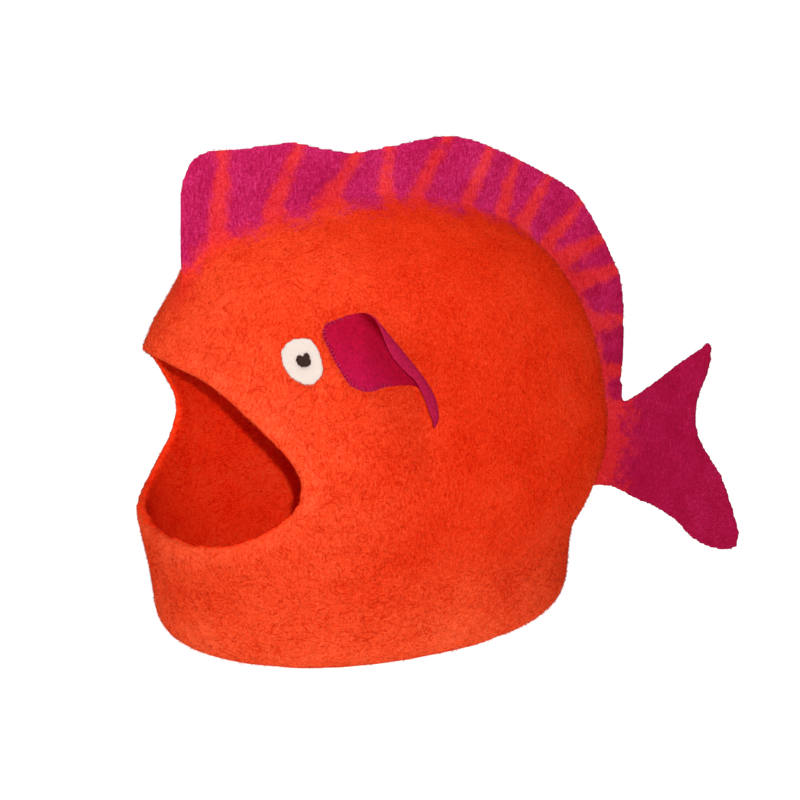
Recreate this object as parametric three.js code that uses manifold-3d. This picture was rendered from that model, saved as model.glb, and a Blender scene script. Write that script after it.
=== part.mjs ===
// A pet bed of thick felted wool in the form of a fish with a wide open mouth.
// Millimetres, +Z up. The mouth opens towards -X and the tail points to +X.
// The origin is on the floor, under the middle of the base.

import * as THREE from 'three';
import { mergeVertices } from 'three/addons/utils/BufferGeometryUtils.js';
import loadManifold from 'manifold-3d';

const solids = await loadManifold();
solids.setup();

// Felt body
const feltThickness = 9;
const baseRounding = 30;
const seatGap = 0.3;
const rimFace = 0.6;
const rimBulge = 0.25;
const discRoundness = 0.45;

// The outer wall at each height: its reach to the front, the back and each side,
// and how square its oval is in front and behind, where 2 is an ellipse.
const wallSections = [
  { height: 0, front: 192, back: 195, side: 145, squareFront: 2.05, squareBack: 2.05 },
  { height: 45, front: 193, back: 196, side: 147, squareFront: 2.15, squareBack: 2.1 },
  { height: 85, front: 198, back: 194, side: 155, squareFront: 2.4, squareBack: 2.2 },
  { height: 118, front: 201, back: 210, side: 164, squareFront: 2.55, squareBack: 2.35 },
  { height: 160, front: 204, back: 226, side: 166, squareFront: 2.7, squareBack: 2.35 },
  { height: 210, front: 203, back: 227, side: 155, squareFront: 2.15, squareBack: 2.2 },
  { height: 262, front: 197, back: 214, side: 142, squareFront: 1.9, squareBack: 2.2 },
  { height: 300, front: 174, back: 194, side: 128, squareFront: 1.95, squareBack: 2.1 },
  { height: 330, front: 154, back: 166, side: 104, squareFront: 2.05, squareBack: 2.05 },
  { height: 352, front: 116, back: 127, side: 74, squareFront: 2.0, squareBack: 2.0 },
  { height: 367, front: 67, back: 76, side: 42, squareFront: 2.0, squareBack: 2.0 },
  { height: 376, front: 0, back: 0, side: 0, squareFront: 2.0, squareBack: 2.0 },
];
const crownHeight = wallSections[wallSections.length - 1].height;
const bodySegments = { around: 56, flat: 2, rounding: 5, wall: 24 };

// Mouth, seen from the side: the edge of the opening from the upper lip round its corner to the lower lip.
const mouthEdge = [
  { x: -230, z: 280 },
  { x: -187, z: 254 },
  { x: -176, z: 247 },
  { x: -163, z: 235 },
  { x: -139, z: 205 },
  { x: -129, z: 190 },
  { x: -124, z: 173 },
  { x: -129, z: 154 },
  { x: -145, z: 136 },
  { x: -164, z: 121 },
  { x: -184, z: 112 },
  { x: -200, z: 108 },
  { x: -230, z: 105 },
];
const mouthSteps = 40;
const mouthCutWidth = 500;

// Dorsal fin: its outer edge in the middle plane, from above the upper lip to the tail.
const dorsalEdge = [
  { x: -164, z: 390 },
  { x: -158, z: 413 },
  { x: -143, z: 421 },
  { x: -113, z: 423 },
  { x: -67, z: 427 },
  { x: -40, z: 421 },
  { x: -11, z: 416 },
  { x: 22, z: 419 },
  { x: 77, z: 428 },
  { x: 102, z: 426 },
  { x: 130, z: 416 },
  { x: 160, z: 404 },
  { x: 190, z: 390 },
  { x: 220, z: 374 },
  { x: 240, z: 349 },
  { x: 256, z: 320 },
  { x: 270, z: 295 },
  { x: 278, z: 270 },
  { x: 282, z: 228 },
  { x: 281, z: 198 },
  { x: 277, z: 178 },
];
const dorsal = {
  hubX: 10, hubZ: 170, frontAngle: 143.5, backAngle: 1,
  rootDepth: 5, thickness: 6, rootFlare: 9, flareHeight: 10,
  wave: 3, waveCount: 3.5, along: 44, up: 5,
};

// Tail fin: its edges in the side view, from the body outwards and down the forked trailing edge.
const tailTop = [
  { x: 216, z: 163 },
  { x: 250, z: 166 },
  { x: 281, z: 167 },
  { x: 311, z: 183 },
  { x: 334, z: 200 },
  { x: 353, z: 213 },
  { x: 364, z: 221 },
];
const tailTrailing = [
  { x: 364, z: 221 },
  { x: 368, z: 210 },
  { x: 364, z: 189 },
  { x: 356, z: 165 },
  { x: 355, z: 139 },
  { x: 364, z: 116 },
  { x: 383, z: 84 },
  { x: 396, z: 45 },
  { x: 403, z: 26 },
  { x: 401, z: 12 },
];
const tailBottom = [
  { x: 214, z: 90 },
  { x: 245, z: 88 },
  { x: 273, z: 83 },
  { x: 293, z: 71 },
  { x: 319, z: 58 },
  { x: 338, z: 44 },
  { x: 360, z: 21 },
  { x: 383, z: 10 },
  { x: 401, z: 12 },
];
// The tail swings to the near side (-Y) behind bendStart, by bend at bendEnd.
const tail = {
  thickness: 6, rootX: 226, rootFlare: 9, flareLength: 16,
  bendStart: 240, bendEnd: 400, bend: 40, bendPower: 1.8, along: 18, up: 14,
};

// Pectoral fins: a cut leaf, laid out along and across its fold line.
// It lies on the body in front of the line and curls off the body behind it.
const pectoralFront = [
  { across: -21, along: -53 },
  { across: -27, along: -43 },
  { across: -31, along: -32 },
  { across: -34, along: -18 },
  { across: -35, along: -9 },
  { across: -30, along: 0 },
];
const pectoralTop = [
  { across: -21, along: -53 },
  { across: -7, along: -51 },
  { across: 5, along: -43 },
];
const pectoralRear = [
  { across: 5, along: -43 },
  { across: 15, along: -33 },
  { across: 22, along: -12 },
  { across: 26, along: 10 },
  { across: 29, along: 32 },
  { across: 23, along: 56 },
];
const pectoralBottom = [
  { across: -30, along: 0 },
  { across: -23, along: 5 },
  { across: -12, along: 9 },
  { across: 3, along: 20 },
  { across: 10, along: 36 },
  { across: 23, along: 56 },
];
// The fold line droops by foldDroop at the tip, most of it near the tip.
const pectoral = {
  foldX: -45, foldZ: 258.5, foldTilt: 56, foldDroop: 16, droopPower: 4, topRadius: 8.5, tipRadius: 8.5,
  topAlong: -50, tipAlong: 56, thickness: 3, across: 16, along: 15,
};

// Eyes: an egg-shaped white with a small notched pupil on it.
const eye = {
  x: -110.5, z: 265, halfLength: 19.5, halfWidth: 16, tilt: 115, thickness: 2.2, around: 24, rows: 8,
};
const pupil = {
  x: -109.5, z: 266, radius: 6.2, notchAngle: 105, notchWidth: 26, notchDepth: 0.3,
  thickness: 1.4, around: 20, rows: 6,
};

const feltColor = new THREE.Color(0.92, 0.09, 0.02);
const finColor = new THREE.Color(0.5, 0.015, 0.12);
const pectoralColor = new THREE.Color(0.58, 0.01, 0.06);
const whiteColor = new THREE.Color(0.9, 0.86, 0.8);
const pupilColor = new THREE.Color(0.05, 0.025, 0.02);

// Reads one column of a table of rows at a height, on a smooth curve through the rows.
// Near the crown the curve runs over the square root of the depth, which makes a round top.
function columnAt(rows, key, height) {
  const place = (row) => Math.sqrt(Math.max(0, 1 - row.height / crownHeight));
  const at = Math.sqrt(Math.max(0, 1 - height / crownHeight));
  let i = rows.findIndex((row) => place(row) <= at);
  i = THREE.MathUtils.clamp(i, 1, rows.length - 1);
  const slope = (k) => {
    const a = rows[Math.max(0, k - 1)];
    const b = rows[Math.min(rows.length - 1, k + 1)];
    return (b[key] - a[key]) / (place(b) - place(a));
  };
  const span = place(rows[i]) - place(rows[i - 1]);
  const t = (at - place(rows[i - 1])) / span;
  const start = rows[i - 1][key];
  const end = rows[i][key];
  const s0 = slope(i - 1) * span;
  const s1 = slope(i) * span;
  const bend = 2 * (start - end) + s0 + s1;
  const lean = -3 * (start - end) - 2 * s0 - s1;
  return Math.max(0, ((bend * t + lean) * t + s0) * t + start);
}

function wallAt(height) {
  const at = {};
  for (const key of ['front', 'back', 'side', 'squareFront', 'squareBack']) {
    at[key] = columnAt(wallSections, key, height);
  }
  return at;
}

// A point of the outer wall. The angle is 0 at the tail and runs towards +Y.
function wallPoint(angle, height, inset = 0) {
  const wall = wallAt(height);
  const c = Math.cos(angle);
  const s = Math.sin(angle);
  const power = 2 / (c < 0 ? wall.squareFront : wall.squareBack);
  const reach = (c < 0 ? wall.front : wall.back) - inset;
  return new THREE.Vector3(
    Math.sign(c) * Math.abs(c) ** power * reach,
    Math.sign(s) * Math.abs(s) ** power * (wall.side - inset),
    height,
  );
}

// Rows of the body from the middle of the base over the rounded edge to the crown.
function bodyRows() {
  const { flat, rounding, wall } = bodySegments;
  const rows = [];
  for (let i = 0; i <= flat; i++) {
    rows.push({ height: 0, inset: baseRounding, scale: i / flat });
  }
  for (let i = 1; i <= rounding; i++) {
    const turn = (Math.PI / 2) * (i / rounding);
    rows.push({
      height: baseRounding * (1 - Math.cos(turn)),
      inset: baseRounding * (1 - Math.sin(turn)),
      scale: 1,
    });
  }
  const start = Math.sqrt(1 - baseRounding / crownHeight);
  for (let i = 1; i <= wall; i++) {
    const q = start * (1 - i / wall);
    rows.push({ height: crownHeight * (1 - q * q), inset: 0, scale: 1 });
  }
  return rows;
}

function merged(geometry) {
  geometry.deleteAttribute('normal');
  geometry.deleteAttribute('uv');
  return mergeVertices(geometry, 1e-3);
}

// Moves every vertex of a geometry by a function of its place.
function reshaped(geometry, place) {
  const position = geometry.attributes.position;
  const v = new THREE.Vector3();
  for (let i = 0; i < position.count; i++) {
    v.fromBufferAttribute(position, i);
    const moved = place(v, i);
    position.setXYZ(i, moved.x, moved.y, moved.z);
  }
  return geometry;
}

// The outer surface of the body as a closed geometry.
function bodySurface() {
  const rows = bodyRows();
  const sphere = new THREE.SphereGeometry(1, bodySegments.around, rows.length - 1);
  sphere.rotateX(Math.PI / 2);
  const shaped = reshaped(sphere, (v) => {
    const fraction = Math.acos(THREE.MathUtils.clamp(-v.z, -1, 1)) / Math.PI;
    const row = rows[Math.round(fraction * (rows.length - 1))];
    const angle = Math.atan2(v.y, v.x);
    const point = wallPoint(angle, row.height, row.inset);
    point.x *= row.scale;
    point.y *= row.scale;
    return point;
  });
  return merged(shaped);
}

// The same surface moved along its normals, inwards for a negative distance.
function offsetSurface(geometry, distance) {
  const copy = geometry.clone();
  copy.computeVertexNormals();
  const normals = copy.attributes.normal;
  const n = new THREE.Vector3();
  reshaped(copy, (v, i) => v.clone().addScaledVector(n.fromBufferAttribute(normals, i), distance));
  return merged(copy);
}

function toSolid(geometry) {
  const clean = merged(geometry.clone());
  return new solids.Manifold(new solids.Mesh({
    numProp: 3,
    vertProperties: new Float32Array(clean.attributes.position.array),
    triVerts: new Uint32Array(clean.index.array),
  }));
}

function toGeometry(solid) {
  const mesh = solid.getMesh();
  const geometry = new THREE.BufferGeometry();
  geometry.setAttribute('position', new THREE.BufferAttribute(mesh.vertProperties, 3));
  geometry.setIndex(new THREE.BufferAttribute(mesh.triVerts, 1));
  geometry.computeVertexNormals();
  return geometry;
}

function curveThrough(points, tension = 0.5) {
  return new THREE.CatmullRomCurve3(
    points.map((p) => new THREE.Vector3(p.x, 0, p.z)), false, 'catmullrom', tension,
  );
}

// A bar across the head whose side view is the mouth.
function mouthCutter() {
  const points = curveThrough(mouthEdge).getSpacedPoints(mouthSteps);
  const shape = new THREE.Shape(points.map((p) => new THREE.Vector2(p.x, p.z)));
  const bar = new THREE.ExtrudeGeometry(shape, { depth: mouthCutWidth, bevelEnabled: false });
  bar.translate(0, 0, -mouthCutWidth / 2);
  bar.rotateX(Math.PI / 2);
  return bar;
}

const body = bodySurface();
const keepOut = toSolid(offsetSurface(body, seatGap));

function feltShell() {
  const hollow = toSolid(offsetSurface(body, -feltThickness));
  return toGeometry(toSolid(body).subtract(hollow).subtract(toSolid(mouthCutter())));
}

// The middle-plane profile of the body, found outwards from a hub inside it.
function profilePoint(hubX, hubZ, angle) {
  const inside = (r) => {
    const x = hubX + r * Math.cos(angle);
    const z = hubZ + r * Math.sin(angle);
    if (z >= crownHeight) return false;
    const wall = wallAt(z);
    return x > -wall.front && x < wall.back;
  };
  let near = 0;
  let far = 2 * crownHeight;
  const halvings = 40;
  for (let i = 0; i < halvings; i++) {
    const middle = (near + far) / 2;
    if (inside(middle)) near = middle;
    else far = middle;
  }
  return new THREE.Vector3(hubX + near * Math.cos(angle), 0, hubZ + near * Math.sin(angle));
}

// A sheet of felt: a box whose long sides follow a middle surface. Its rim is rounded:
// the faces draw in to rimFace of the thickness and the middle bulges by rimBulge of it.
// middle(u, v) gives a point and thickness(u, v) the felt there, with u and v from 0 to 1.
function feltSheet(middle, thickness, along, up) {
  const box = new THREE.BoxGeometry(1, 1, 1, along, up, 2);
  const step = 1e-3;
  return merged(reshaped(box, (p) => {
    const u = THREE.MathUtils.clamp(p.x + 0.5, 0, 1);
    const v = THREE.MathUtils.clamp(p.y + 0.5, 0, 1);
    const a = middle(Math.max(0, u - step), v);
    const b = middle(Math.min(1, u + step), v);
    const c = middle(u, Math.max(0, v - step));
    const d = middle(u, Math.min(1, v + step));
    const across = b.sub(a).normalize();
    const upwards = d.sub(c).normalize();
    const normal = across.clone().cross(upwards).normalize();
    const rim = u < step || u > 1 - step || v < step || v > 1 - step;
    const felt = thickness(u, v);
    const point = middle(u, v);
    const layer = Math.round(p.z * 2);
    if (!rim) return point.addScaledVector(normal, layer * felt / 2);
    if (layer !== 0) return point.addScaledVector(normal, layer * felt * rimFace / 2);
    const out = new THREE.Vector3();
    if (u < step) out.sub(across);
    if (u > 1 - step) out.add(across);
    if (v < step) out.sub(upwards);
    if (v > 1 - step) out.add(upwards);
    return point.addScaledVector(out.normalize(), felt * rimBulge);
  }));
}

function dorsalFin() {
  const edge = curveThrough(dorsalEdge);
  const { hubX, hubZ, frontAngle, backAngle, rootDepth } = dorsal;
  const root = (u) => {
    const angle = THREE.MathUtils.degToRad(THREE.MathUtils.lerp(frontAngle, backAngle, u));
    const point = profilePoint(hubX, hubZ, angle);
    return point.sub(new THREE.Vector3(Math.cos(angle), 0, Math.sin(angle)).multiplyScalar(rootDepth));
  };
  const middle = (u, v) => {
    const point = root(u).lerp(edge.getPointAt(u), v);
    point.y = dorsal.wave * v * Math.sin(u * dorsal.waveCount * 2 * Math.PI);
    return point;
  };
  const height = (u, v) => root(u).distanceTo(edge.getPointAt(u)) * v;
  const thickness = (u, v) => dorsal.thickness
    + dorsal.rootFlare * Math.exp(-Math.max(0, height(u, v) - rootDepth) / dorsal.flareHeight);
  const sheet = feltSheet(middle, thickness, dorsal.along, dorsal.up);
  return toGeometry(toSolid(sheet).subtract(keepOut));
}

// A surface between four edge curves that share their corners.
function betweenEdges(left, right, bottom, top) {
  return (u, v) => {
    const sides = left(v).multiplyScalar(1 - u).add(right(v).multiplyScalar(u));
    const ends = bottom(u).multiplyScalar(1 - v).add(top(u).multiplyScalar(v));
    const corners = left(0).multiplyScalar((1 - u) * (1 - v))
      .add(right(0).multiplyScalar(u * (1 - v)))
      .add(left(1).multiplyScalar((1 - u) * v))
      .add(right(1).multiplyScalar(u * v));
    return sides.add(ends).sub(corners);
  };
}

function tailFin() {
  const upper = curveThrough(tailTop);
  const lower = curveThrough(tailBottom);
  const trailing = curveThrough(tailTrailing);
  const root = new THREE.LineCurve3(lower.getPoint(0), upper.getPoint(0));
  const flat = betweenEdges(
    (v) => root.getPoint(v),
    (v) => trailing.getPointAt(1 - v),
    (u) => lower.getPointAt(u),
    (u) => upper.getPointAt(u),
  );
  const middle = (u, v) => {
    const point = flat(u, v);
    const swing = Math.max(0, (point.x - tail.bendStart) / (tail.bendEnd - tail.bendStart));
    point.y = -tail.bend * swing ** tail.bendPower;
    return point;
  };
  const thickness = (u, v) => tail.thickness
    + tail.rootFlare * Math.exp(-Math.max(0, flat(u, v).x - tail.rootX) / tail.flareLength);
  const sheet = feltSheet(middle, thickness, tail.along, tail.up);
  return toGeometry(toSolid(sheet).subtract(keepOut));
}

// How far the outer wall stands from the middle plane at a point of the side view.
function sideReach(x, z) {
  const wall = wallAt(z);
  const share = Math.min(1, Math.abs(x) / (x < 0 ? wall.front : wall.back));
  const square = x < 0 ? wall.squareFront : wall.squareBack;
  return wall.side * (1 - share ** square) ** (1 / square);
}

// The outward direction of the near wall (-Y) at a point of the side view.
function sideNormal(x, z) {
  const step = 0.5;
  const slopeX = (sideReach(x + step, z) - sideReach(x - step, z)) / (2 * step);
  const slopeZ = (sideReach(x, z + step) - sideReach(x, z - step)) / (2 * step);
  return new THREE.Vector3(-slopeX, -1, -slopeZ).normalize();
}

// A point that stands off the near wall by a lift.
function onSide(x, z, lift) {
  return new THREE.Vector3(x, -sideReach(x, z), z).addScaledVector(sideNormal(x, z), lift);
}

function pectoralFin() {
  const edge = (rows) => new THREE.CatmullRomCurve3(
    rows.map((row) => new THREE.Vector3(row.across, row.along, 0)), false, 'catmullrom', 0.5,
  );
  const [front, top, rear, bottom] = [pectoralFront, pectoralTop, pectoralRear, pectoralBottom].map(edge);
  const flat = betweenEdges(
    (v) => front.getPointAt(v),
    (v) => rear.getPointAt(v),
    (u) => top.getPointAt(u),
    (u) => bottom.getPointAt(u),
  );
  const tilt = THREE.MathUtils.degToRad(pectoral.foldTilt);
  const { foldX, foldZ, foldDroop, droopPower, topRadius, tipRadius } = pectoral;
  const { topAlong, tipAlong, thickness } = pectoral;
  const middle = (u, v) => {
    const place = flat(u, v);
    const down = (place.y - topAlong) / (tipAlong - topAlong);
    const foldRadius = THREE.MathUtils.lerp(topRadius, tipRadius, down);
    const turn = Math.max(0, place.x) / foldRadius;
    const droop = foldDroop * (Math.max(0, place.y) / tipAlong) ** droopPower;
    const across = Math.min(0, place.x) + foldRadius * Math.sin(turn) - droop;
    const lift = seatGap + thickness / 2 + foldRadius * (1 - Math.cos(turn));
    const x = foldX + across * Math.sin(tilt) + place.y * Math.cos(tilt);
    const z = foldZ + across * Math.cos(tilt) - place.y * Math.sin(tilt);
    return onSide(x, z, lift);
  };
  return feltSheet(middle, () => thickness, pectoral.across, pectoral.along);
}

// A thin felt disc laid on the near wall, with its outline given as a radius at each angle.
function feltDisc(disc, radiusAt, lift) {
  const { x, z, thickness, around, rows } = disc;
  const centre = onSide(x, z, 0);
  const normal = sideNormal(x, z);
  const up = new THREE.Vector3(0, 0, 1).addScaledVector(normal, -normal.z).normalize();
  const back = up.clone().cross(normal).normalize();
  const sphere = new THREE.SphereGeometry(1, around, rows);
  sphere.rotateX(Math.PI / 2);
  return merged(reshaped(sphere, (v) => {
    const angle = Math.atan2(v.y, v.x);
    const radius = radiusAt(angle) * Math.min(1, Math.hypot(v.x, v.y)) ** discRoundness;
    const place = centre.clone()
      .addScaledVector(back, radius * Math.cos(angle))
      .addScaledVector(up, radius * Math.sin(angle));
    return onSide(place.x, place.z, lift + (thickness / 2) * (1 + v.z));
  }));
}

function eyeWhite() {
  const tilt = THREE.MathUtils.degToRad(eye.tilt);
  const radiusAt = (angle) => 1 / Math.hypot(
    Math.cos(angle - tilt) / eye.halfLength, Math.sin(angle - tilt) / eye.halfWidth,
  );
  return feltDisc(eye, radiusAt, seatGap);
}

function pupilSpot() {
  const notch = THREE.MathUtils.degToRad(pupil.notchAngle);
  const width = THREE.MathUtils.degToRad(pupil.notchWidth);
  const radiusAt = (angle) => {
    const away = Math.atan2(Math.sin(angle - notch), Math.cos(angle - notch)) / width;
    return pupil.radius * (1 - pupil.notchDepth * Math.exp(-away * away));
  };
  const lift = eye.thickness + 2 * seatGap;
  return feltDisc(pupil, radiusAt, lift);
}

// The same piece on the other side of the fish.
function mirrored(geometry) {
  const copy = geometry.clone();
  copy.scale(1, -1, 1);
  const index = copy.index.array;
  for (let i = 0; i < index.length; i += 3) {
    [index[i], index[i + 1]] = [index[i + 1], index[i]];
  }
  return copy;
}

function felt(name, geometry, color) {
  const material = new THREE.MeshStandardMaterial({ color, roughness: 1, metalness: 0 });
  const mesh = new THREE.Mesh(geometry, material);
  mesh.name = name;
  return mesh;
}

const bed = new THREE.Group();
bed.add(felt('felt_shell', feltShell(), feltColor));
bed.add(felt('dorsal_fin', dorsalFin(), finColor));
bed.add(felt('tail_fin', tailFin(), finColor));
const sidePieces = [
  { name: 'pectoral_fin', geometry: pectoralFin(), color: pectoralColor },
  { name: 'eye_white', geometry: eyeWhite(), color: whiteColor },
  { name: 'pupil', geometry: pupilSpot(), color: pupilColor },
];
for (const { name, geometry, color } of sidePieces) {
  bed.add(felt(`${name}_left`, geometry, color));
  bed.add(felt(`${name}_right`, mirrored(geometry), color));
}

export default bed;
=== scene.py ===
import math

import bpy
import numpy as np
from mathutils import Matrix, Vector
from mathutils.bvhtree import BVHTree
from mathutils.kdtree import KDTree


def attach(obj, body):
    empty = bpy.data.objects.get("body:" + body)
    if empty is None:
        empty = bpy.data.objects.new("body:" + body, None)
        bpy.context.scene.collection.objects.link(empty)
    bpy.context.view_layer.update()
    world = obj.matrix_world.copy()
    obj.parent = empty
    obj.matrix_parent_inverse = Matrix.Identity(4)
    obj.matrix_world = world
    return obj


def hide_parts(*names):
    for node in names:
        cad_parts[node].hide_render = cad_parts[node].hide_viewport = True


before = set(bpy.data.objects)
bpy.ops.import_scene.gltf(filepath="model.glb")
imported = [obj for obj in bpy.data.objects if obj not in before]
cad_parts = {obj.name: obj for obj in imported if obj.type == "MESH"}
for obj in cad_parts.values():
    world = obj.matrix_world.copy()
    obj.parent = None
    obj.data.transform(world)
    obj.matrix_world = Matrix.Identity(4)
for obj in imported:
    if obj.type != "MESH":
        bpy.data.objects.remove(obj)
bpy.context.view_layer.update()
scene = bpy.context.scene
scene.view_settings.view_transform = "Standard"  # keeps the wool's strong colours


def say(text):
    print("bed:", text)


# Small helpers for operators and meshes

def deselectAll():
    if bpy.context.object and bpy.context.object.mode != "OBJECT":
        bpy.ops.object.mode_set(mode="OBJECT")
    bpy.ops.object.select_all(action="DESELECT")


def pick(obj):
    deselectAll()
    obj.select_set(True)
    bpy.context.view_layer.objects.active = obj


def applyModifier(obj, kind, **settings):
    pick(obj)
    bpy.ops.object.modifier_add(type=kind)
    modifier = obj.modifiers[-1]
    for name, value in settings.items():
        setattr(modifier, name, value)
    bpy.ops.object.modifier_apply(modifier=modifier.name)


def copyOfNodes(name, nodes):
    deselectAll()
    copies = []
    for node in nodes:
        copied = bpy.data.objects.new(name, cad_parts[node].data.copy())
        scene.collection.objects.link(copied)
        copied.select_set(True)
        copies.append(copied)
    bpy.context.view_layer.objects.active = copies[0]
    if len(copies) > 1:
        bpy.ops.object.join()
    piece = bpy.context.object
    piece.data.materials.clear()
    bpy.ops.object.mode_set(mode="EDIT")
    bpy.ops.mesh.select_all(action="SELECT")
    bpy.ops.mesh.remove_doubles(threshold=1e-5)
    bpy.ops.object.mode_set(mode="OBJECT")
    piece.name = name
    piece.data.name = name
    return piece


def arrayOf(items, name, width, kind=np.float32):
    values = np.empty(len(items) * width, kind)
    items.foreach_get(name, values)
    return values.reshape(-1, width)


def pointsOf(obj):
    return arrayOf(obj.data.vertices, "co", 3).astype(float)


def normalsOf(obj):
    return arrayOf(obj.data.vertex_normals, "vector", 3).astype(float)


def trianglesOf(obj):
    obj.data.calc_loop_triangles()
    return arrayOf(obj.data.loop_triangles, "vertices", 3, np.int32)


def edgesOf(obj):
    return arrayOf(obj.data.edges, "vertices", 2, np.int32)


def setPoints(obj, points):
    obj.data.vertices.foreach_set("co", points.astype(np.float32).ravel())
    obj.data.update()


def setValue(obj, name, values):
    attribute = obj.data.attributes.get(name) or obj.data.attributes.new(name, "FLOAT", "POINT")
    attribute.data.foreach_set("value", np.asarray(values, np.float32))


def setWeights(obj, name, weights, steps=10):
    group = obj.vertex_groups.get(name) or obj.vertex_groups.new(name=name)
    levels = np.clip(np.round(weights * steps), 0, steps).astype(int)
    for level in range(steps + 1):
        group.add(np.flatnonzero(levels == level).tolist(), level / steps, "REPLACE")


def meshFromArrays(name, points, triangles):
    mesh = bpy.data.meshes.new(name)
    mesh.vertices.add(len(points))
    mesh.vertices.foreach_set("co", points.astype(np.float32).ravel())
    mesh.loops.add(triangles.size)
    mesh.loops.foreach_set("vertex_index", triangles.astype(np.int32).ravel())
    mesh.polygons.add(len(triangles))
    mesh.polygons.foreach_set("loop_start", np.arange(0, triangles.size, 3, dtype=np.int32))
    mesh.polygons.foreach_set("use_smooth", np.ones(len(triangles), bool))
    mesh.update(calc_edges=True)
    mesh.validate()
    obj = bpy.data.objects.new(name, mesh)
    scene.collection.objects.link(obj)
    return obj


def smoothStep(low, high, value):
    t = np.clip((value - low) / (high - low), 0, 1)
    return t * t * (3 - 2 * t)


# 0 before the first place and past the end, 1 between the middle two.
def between(first, full, last, end, value):
    return smoothStep(first, full, value) * (1 - smoothStep(last, end, value))


def unit(vectors):
    return vectors / np.maximum(np.linalg.norm(vectors, axis=-1, keepdims=True), 1e-12)


def treeOf(obj):
    return BVHTree.FromPolygons(pointsOf(obj).tolist(), trianglesOf(obj).tolist())


def distancesTo(tree, points):
    return np.array([tree.find_nearest(point)[3] for point in points.tolist()])


def dress(piece, material):
    piece.data.materials.append(material)
    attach(piece, "root")


# Camera, floor and light

cameraView = {
    "azimuth": -28.0,
    "elevation": 13.0,
    "distance": 1.44,
    "target": (0.037, 0.0, 0.195),
    "lens": 72.0,
    "sensor": 36.0,
    "clipEnd": 100.0,
}


def directionAt(azimuth, elevation):
    a, e = math.radians(azimuth), math.radians(elevation)
    return Vector((math.sin(a) * math.cos(e), -math.cos(a) * math.cos(e), math.sin(e)))


def addCamera():
    back = directionAt(cameraView["azimuth"], cameraView["elevation"])
    place = Vector(cameraView["target"]) + back * cameraView["distance"]
    bpy.ops.object.camera_add(location=place, rotation=back.to_track_quat("Z", "Y").to_euler())
    camera = bpy.context.object
    camera.name = "photoCamera"
    camera.data.lens = cameraView["lens"]
    camera.data.sensor_width = cameraView["sensor"]
    camera.data.clip_end = cameraView["clipEnd"]
    scene.camera = camera


# Lamps stand round the camera's target, by azimuth and elevation in degrees and distance in metres.
studioLamps = [
    {"name": "cameraLamp", "azimuth": -26.6, "elevation": 14.6, "distance": 1.44, "size": 0.02,
     "power": 12.5},
    {"name": "leftLamp", "azimuth": -98.0, "elevation": 47.0, "distance": 2.0, "size": 0.7, "power": 16.0},
    {"name": "topLamp", "azimuth": 30.0, "elevation": 75.0, "distance": 2.0, "size": 0.7, "power": 24.0},
]
# The room is white round the horizon and dimmer overhead.
studioRoom = {"low": 1.05, "high": 0.02, "from": 0.14, "to": 0.40}
studioFloor = {"size": 60.0, "drop": 0.0004, "colour": (0.22, 0.22, 0.22, 1), "glow": 1.02,
               "roughness": 0.9, "specular": 0.1}


def addLamps():
    for lamp in studioLamps:
        back = directionAt(lamp["azimuth"], lamp["elevation"])
        place = Vector(cameraView["target"]) + back * lamp["distance"]
        turn = back.to_track_quat("Z", "Y").to_euler()
        bpy.ops.object.light_add(type="AREA", location=place, rotation=turn)
        light = bpy.context.object
        light.name = lamp["name"]
        light.data.shape = "DISK"
        light.data.size = lamp["size"]
        light.data.energy = lamp["power"]


def addRoom():
    world = bpy.data.worlds.new("whiteStudio")
    world.use_nodes = True
    tree = world.node_tree
    towards = tree.nodes.new("ShaderNodeTexCoord")
    parts = tree.nodes.new("ShaderNodeSeparateXYZ")
    fade = tree.nodes.new("ShaderNodeMapRange")
    fade.interpolation_type = "SMOOTHSTEP"
    for socket, key in zip(fade.inputs[1:5], ("from", "to", "low", "high")):
        socket.default_value = studioRoom[key]
    tree.links.new(towards.outputs["Generated"], parts.inputs["Vector"])
    tree.links.new(parts.outputs["Z"], fade.inputs["Value"])
    background = tree.nodes["Background"]
    background.inputs["Color"].default_value = (1, 1, 1, 1)
    tree.links.new(fade.outputs["Result"], background.inputs["Strength"])
    scene.world = world


def addFloor():
    bpy.ops.mesh.primitive_plane_add(size=studioFloor["size"], location=(0, 0, -studioFloor["drop"]))
    floor = bpy.context.object
    floor.name = "paleFloor"
    material = bpy.data.materials.new("paleFloor")
    material.use_nodes = True
    shader = material.node_tree.nodes["Principled BSDF"]
    shader.inputs["Base Color"].default_value = studioFloor["colour"]
    shader.inputs["Roughness"].default_value = studioFloor["roughness"]
    shader.inputs["Specular IOR Level"].default_value = studioFloor["specular"]
    shader.inputs["Emission Color"].default_value = (1, 1, 1, 1)
    shader.inputs["Emission Strength"].default_value = studioFloor["glow"]
    floor.data.materials.append(material)


# Node helpers for the materials

feltRoughness = 0.95


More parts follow.
